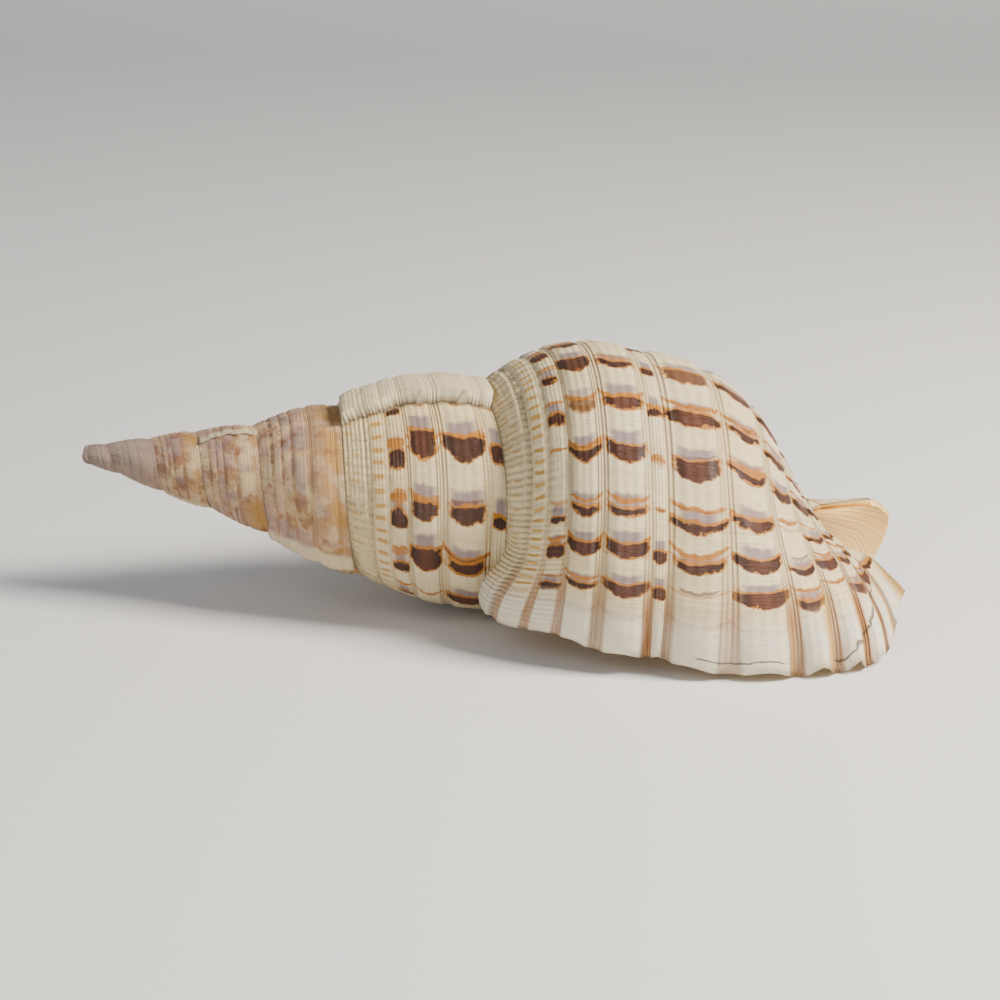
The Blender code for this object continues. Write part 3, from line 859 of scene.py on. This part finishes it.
def worn_colour(graph, ground, base, colours):
    """Darker in the fold along the upper seam, grime in the grain and pits, painted shadow under
    the edges of the old lips, chalky spire with ochre spots, and dull tip.
    """
    place = graph.object_place()
    clouds = graph.noise(place, 95.0, 3.0, 0.6)
    lower = ground.band.between(4.2, 5.9, 0.7) * ground.spire * clouds.over(0.42, 0.58)
    spots = graph.noise(place, 150.0, 3.0, 0.6).over(0.57, 0.66)
    patch = graph.noise(place, 70.0, 3.0).over(0.45, 0.58)
    patch = patch * ground.angle.between(-1290.0, -1190.0, 30.0)
    # Darker right along the upper seam, with specks of grime in the grain
    grime_and_shade = ground.band.over(0.12, 0.0) * 0.7 + ground.grain.over(0.60, 0.78) * 0.16
    pits = ground.fine.over(0.66, 0.74) * (0.10 + 0.35 * ground.spire)
    # Grime in the grain and pits, darker along the upper seam, and painted shadow under the edge of
    # each old lip
    dirt_and_shadow = (grime_and_shade + pits + 0.9 * ground.under * ground.under).least(0.85)
    return graph.painted(
        base,
        (clouds.over(0.46, 0.62) * ground.spire * 0.45, colours.lavender),
        (clouds.over(0.50, 0.36) * ground.spire * 0.55, colours.warm_cream),
        (lower * 0.75, colours.ochre),
        (spots * ground.spire * 0.65, colours.rust),
        (patch * 0.7, colours.chalk),
        (ground.tip * 0.85, colours.chalk),
        ((ground.crest * 1.6).least(0.8), colours.pale_yellow),
        (dirt_and_shadow, colours.grime_and_shade),
        (cracks(ground) * 0.8, colours.grime_and_shade))


def outer_height(graph, ground):
    """Fine relief: threads in the grooves, growth lines, grain and worn pits."""
    grouped = ((ground.off - 0.68) / 0.16).wave() * ground.off.over(0.64, 0.72)
    grouped = grouped * (1 - ground.small) * (1 - ground.seam_band)
    many = (ground.band * 6.0).wave() * ground.seam_band
    slight = (ground.band * 5.0).wave() * 0.30
    folds = (ground.turns * 6.0 + 0.8 * ground.wobble).wave()
    beaded = folds * (ground.seam_band + 0.45 * ground.band.between(0.9, 3.0, 0.1)) * 1.3
    lines = graph.noise(graph.combine(ground.angle * 2.6, ground.band * 0.25), 1.0, 4.0, 0.7)
    worn = ground.fine * 0.35 * (0.25 + ground.spire)
    relief = 0.75 * grouped + 0.8 * many + slight + beaded
    relief = relief * (1 - 0.6 * ground.spire) * (1 - 0.6 * ground.crest)
    relief = relief - 1.5 * cracks(ground)
    return relief + 0.8 * lines + 0.35 * ground.grain + worn


def outer_material(colours):
    graph = Graph("patterned shell")
    ground = OuterGround(graph)
    colour = outer_colour(graph, ground, colours)
    roughness = 0.34 + 0.16 * ground.grain + 0.22 * ground.spire
    return graph.finish(colour, roughness, outer_height(graph, ground), 0.0007)


def inner_material(colours):
    """Glossy inside: white at the lip, orange within, ridges on a dark pillar, and painted lavender
    shade toward the far wall of the canal.
    """
    graph = Graph("glazed inside")
    depth, band = graph.read("marks")
    angle, pillar = graph.read("growth")
    cloud = graph.noise(graph.object_place(), 30.0, 3.0)
    canal = pillar.over(1.5, 1.6)
    glow = depth.over(6.0, 40.0).most(canal * 0.9)
    paired = (band * 2.0 + 0.5).wave().over(0.35, 0.75) * (band + 0.5).wave().over(0.2, 0.6)
    teeth = depth.between(1.5, 8.0, 1.2) * paired * band.over(2.5, 3.5)
    teeth = teeth * (1 - pillar.over(0.5, 0.6))
    folds = (band * 5.0 + depth * 0.05).wave()
    ridged = pillar.between(0.95, 1.05, 0.04) * depth.over(200.0, 60.0)
    # Painted shade: lavender grey toward the far wall of the canal, with random lavender clouds
    shaded = angle.over(-195.0, -250.0) * 0.6 + cloud.over(0.55, 0.9) * 0.4
    fan = graph.noise(graph.combine(band * 14.0, depth * 0.02, angle * 0.22), 1.0, 3.0)
    base = graph.painted(
        colours.cream,
        (glow, colours.inner_orange),
        (cloud.over(0.45, 0.65) * (1 - canal) * 0.3, colours.warm_cream),
        (teeth * 0.85, colours.chocolate),
        (ridged * folds.over(0.65, 0.3) * 0.8, colours.chocolate),
        (canal * shaded * 0.45, colours.lavender),
        (fan.over(0.45, 0.65) * 0.25 * (1 - canal), colours.tan),
        (fan.over(0.42, 0.68) * canal * 0.5, colours.ochre))
    height = ridged * folds * 0.8 + (0.25 + 0.35 * canal) * fan
    return graph.finish(base, 0.24 + 0.1 * cloud, height, 0.0012)


def grown_mesh(per_turn, rings):
    """The whole shell as one closed mesh."""
    bm = bmesh.new()
    for name in DETAIL_MAPS:
        bm.loops.layers.uv.new(name)
    outer = outer_sheets(per_turn)
    for places, angles, rows in outer:
        Sheet(places, marks_before(angles)[:, None], band_at(rows)[None, :], angles[:, None],
              0.0, old_lip_shade(angles[:, None], rows[None, :])).lay(bm, 0)
    tip = tip_sheet(outer[0][0], per_turn)
    Sheet(tip, 1.5, 1.5, FIRST_ANGLE, 0.0).lay(bm, 0)
    rim = Rim(*outer)
    tube, depths = hollow_sheet(rim, rings, HOLLOW_DEPTH)
    parts = np.concatenate([rim.parts, rim.parts[:1]])
    rows = np.concatenate([rim.rows, rim.rows[:1]])
    side = (parts == "pillar") * 1.0 + np.isin(parts, ("end", "edge", "ledge")) * 2.0
    turned = np.concatenate([rim.angles, rim.angles[:1]])
    Sheet(tube, depths[None, :], band_at(rows)[:, None], turned[:, None], side[:, None]).lay(bm, 1)
    bmesh.ops.remove_doubles(bm, verts=bm.verts, dist=0.0005)
    open_edges = [edge for edge in bm.edges if len(edge.link_faces) != 2]
    if open_edges:
        raise RuntimeError(f"the shell isn't closed: {len(open_edges)} open edges")
    bmesh.ops.recalc_face_normals(bm, faces=bm.faces)
    return bm


def posed(bm):
    """Turn the axis into its resting pose and set the shell on the ground."""
    turn = Matrix.Rotation(math.radians(TILT), 4, "Y") @ Matrix.Rotation(math.radians(ROLL), 4, "X")
    bmesh.ops.transform(bm, matrix=turn, verts=bm.verts)
    places = np.array([vert.co for vert in bm.verts])
    low, high = places.min(axis=0), places.max(axis=0)
    middle = Vector((0.5 * (low[0] + high[0]), 0.5 * (low[1] + high[1]), low[2]))
    bmesh.ops.transform(bm, matrix=Matrix.Scale(METRES, 4) @ Matrix.Translation(-middle),
                        verts=bm.verts)


def colour_property(name, description, default):
    return FloatVectorProperty(name=name, description=description, default=default,
                               size=3, subtype="COLOR", min=0.0, max=1.0)


class ShellShape(bpy.types.PropertyGroup):
    per_turn: IntProperty(
        name="Columns per whorl", description="How finely each whorl is divided along its growth",
        default=168, min=60, max=190)
    rings: IntProperty(
        name="Rings of the hollow", description="How finely the inside is divided",
        default=56, min=12, max=60)


class ShellColours(bpy.types.PropertyGroup):
    cream: colour_property("Cream", "Ground of the whorls", (0.86, 0.75, 0.48))
    warm_cream: colour_property("Warm cream", "Warmer clouds of the ground", (0.80, 0.60, 0.30))
    tan: colour_property("Tan", "Grooves and growth lines", (0.36, 0.17, 0.055))
    amber: colour_property("Amber", "Rims of the marks", (0.50, 0.175, 0.008))
    chocolate: colour_property("Chocolate", "Dark of the marks", (0.022, 0.0045, 0.0026))
    maroon: colour_property("Maroon", "Paler middle of some marks", (0.115, 0.030, 0.012))
    rust: colour_property("Rust", "Spots on the worn spire", (0.33, 0.12, 0.05))
    ray: colour_property("Ray", "Rays over the flared lip", (0.37, 0.165, 0.055))
    pale_yellow: colour_property("Pale yellow", "Crests of the old lips", (0.74, 0.62, 0.38))
    lip_white: colour_property("Lip white", "Flared edge of the lip", (0.84, 0.77, 0.62))
    # Lavender grey is also the painted shade toward the far wall of the canal
    lavender: colour_property("Lavender grey", "Pale inside of the marks", (0.24, 0.165, 0.185))
    spire_pink: colour_property("Spire pink", "Ground of the worn spire", (0.58, 0.35, 0.22))
    ochre: colour_property("Ochre", "Dashes and spots", (0.58, 0.29, 0.04))
    chalk: colour_property("Chalk", "Dull, worn tip", (0.41, 0.295, 0.24))
    # Dark colour of grime in the grain and pits and of the cracks, laid also darker along the upper
    # seam and as painted shadow under the edges of the old lips
    grime_and_shade: colour_property("Grime", "Dirt in the seams and pits", (0.13, 0.085, 0.055))
    inner_orange: colour_property("Inner orange", "Glazed inside", (0.86, 0.53, 0.15))


class StudioSettings(bpy.types.PropertyGroup):
    distance: FloatProperty(
        name="Camera distance", description="From the camera to the middle of the shell",
        default=1.2, min=0.3, unit="LENGTH")
    view_width: FloatProperty(
        name="View width", description="Width of what the camera sees at the shell",
        default=0.373, min=0.1, unit="LENGTH")
    elevation: FloatProperty(
        name="Elevation", description="How far the camera stands above the shell",
        default=math.radians(18.0), subtype="ANGLE")
    roll: FloatProperty(
        name="Camera roll", description="Lean of the camera about its own line of sight",
        default=math.radians(1.0), subtype="ANGLE")
    aim: FloatVectorProperty(
        name="Aim", description="Place that the camera looks at",
        default=(0.0035, 0.0, 0.047), size=3, subtype="TRANSLATION")
    key_power: FloatProperty(
        name="Key light", description="Power of the large lamp over the right front",
        default=46.0, min=0.0, unit="POWER")
    fill_power: FloatProperty(
        name="Fill light", description="Power of the soft lamp on the left",
        default=7.0, min=0.0, unit="POWER")
    sky_strength: FloatProperty(
        name="Sky", description="Strength of the even light from all sides",
        default=0.30, min=0.0)


class SHELL_OT_grow(bpy.types.Operator):
    """Grow the shell as one closed piece with its markings"""

    bl_idname = "shell.grow"
    bl_label = "Grow shell"

    def execute(self, context):
        shape = context.scene.shell_shape
        colours = context.scene.shell_colours
        bm = grown_mesh(shape.per_turn, shape.rings)
        posed(bm)
        mesh = bpy.data.meshes.new("grown_shell")
        bm.to_mesh(mesh)
        bm.free()
        shell = bpy.data.objects.new("grown_shell", mesh)
        context.scene.collection.objects.link(shell)
        mesh.materials.append(outer_material(colours))
        mesh.materials.append(inner_material(colours))
        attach(shell, "root")
        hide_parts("shell")
        return {"FINISHED"}


def aimed(place, target, roll=0.0):
    """Placement of a camera or lamp that looks from a place at a target."""
    turn = (Vector(target) - Vector(place)).to_track_quat("-Z", "Y").to_matrix().to_4x4()
    return Matrix.Translation(place) @ turn @ Matrix.Rotation(roll, 4, "Z")


def add_lamp(scene, name, power, size, place, target, colour):
    lamp = bpy.data.lights.new(name, "AREA")
    lamp.energy = power
    lamp.size = size
    lamp.color = colour
    obj = bpy.data.objects.new(name, lamp)
    obj.matrix_world = aimed(place, target)
    scene.collection.objects.link(obj)


def add_floor(scene):
    """A pale floor that rises softly into the background behind the shell."""
    bm = bmesh.new()
    bmesh.ops.create_grid(bm, x_segments=4, y_segments=120, size=4.0)
    for vert in bm.verts:
        past = max(vert.co.y - 1.2, 0.0)
        vert.co.z = past * past * 0.9 / (1 + 0.35 * past)
    mesh = bpy.data.meshes.new("floor")
    bm.to_mesh(mesh)
    bm.free()
    mesh.shade_smooth()
    graph = Graph("pale floor")
    graph.surface.inputs["Base Color"].default_value = (0.80, 0.77, 0.73, 1.0)
    graph.surface.inputs["Roughness"].default_value = 0.85
    mesh.materials.append(graph.material)
    floor = bpy.data.objects.new("floor", mesh)
    scene.collection.objects.link(floor)


def add_camera(scene, studio):
    data = bpy.data.cameras.new("camera")
    data.sensor_width = 36.0
    data.lens = 36.0 * studio.distance / studio.view_width
    camera = bpy.data.objects.new("camera", data)
    away = Vector((0.0, -math.cos(studio.elevation), math.sin(studio.elevation)))
    place = Vector(studio.aim) + away * studio.distance
    camera.matrix_world = aimed(place, studio.aim, studio.roll)
    scene.collection.objects.link(camera)
    scene.camera = camera


class SHELL_OT_set_stage(bpy.types.Operator):
    """Set the floor, the lamps and the camera"""

    bl_idname = "shell.set_stage"
    bl_label = "Set stage"

    def execute(self, context):
        scene = context.scene
        studio = scene.shell_studio
        add_floor(scene)
        add_lamp(scene, "key", studio.key_power, 0.5, (0.95, -0.30, 0.95), (0, 0, 0.04),
                 (1.0, 0.95, 0.88))
        add_lamp(scene, "fill", studio.fill_power, 1.2, (-0.9, -0.9, 0.7), (0, 0, 0.04),
                 (0.88, 0.94, 1.0))
        world = bpy.data.worlds.new("studio")
        world.use_nodes = True
        sky = world.node_tree.nodes["Background"]
        sky.inputs["Color"].default_value = (0.80, 0.88, 1.0, 1.0)
        sky.inputs["Strength"].default_value = studio.sky_strength
        scene.world = world
        add_camera(scene, studio)
        return {"FINISHED"}


class SHELL_PT_panel(bpy.types.Panel):
    bl_idname = "SHELL_PT_panel"
    bl_label = "Triton's Trumpet Shell"
    bl_space_type = "VIEW_3D"
    bl_region_type = "UI"
    bl_category = "Shell"

    def draw(self, context):
        layout = self.layout
        for group in (context.scene.shell_shape, context.scene.shell_colours,
                      context.scene.shell_studio):
            box = layout.box()
            for name in group.__annotations__:
                box.prop(group, name)
        layout.operator(SHELL_OT_grow.bl_idname)
        layout.operator(SHELL_OT_set_stage.bl_idname)


CLASSES = (ShellShape, ShellColours, StudioSettings, SHELL_OT_grow, SHELL_OT_set_stage,
           SHELL_PT_panel)


def register():
    for cls in CLASSES:
        bpy.utils.register_class(cls)
    bpy.types.Scene.shell_shape = PointerProperty(type=ShellShape)
    bpy.types.Scene.shell_colours = PointerProperty(type=ShellColours)
    bpy.types.Scene.shell_studio = PointerProperty(type=StudioSettings)


def unregister():
    del bpy.types.Scene.shell_studio
    del bpy.types.Scene.shell_colours
    del bpy.types.Scene.shell_shape
    for cls in reversed(CLASSES):
        bpy.utils.unregister_class(cls)


def main():
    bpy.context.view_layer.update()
    register()
    bpy.ops.shell.grow()
    bpy.ops.shell.set_stage()


if __name__ == "__main__":
    main()
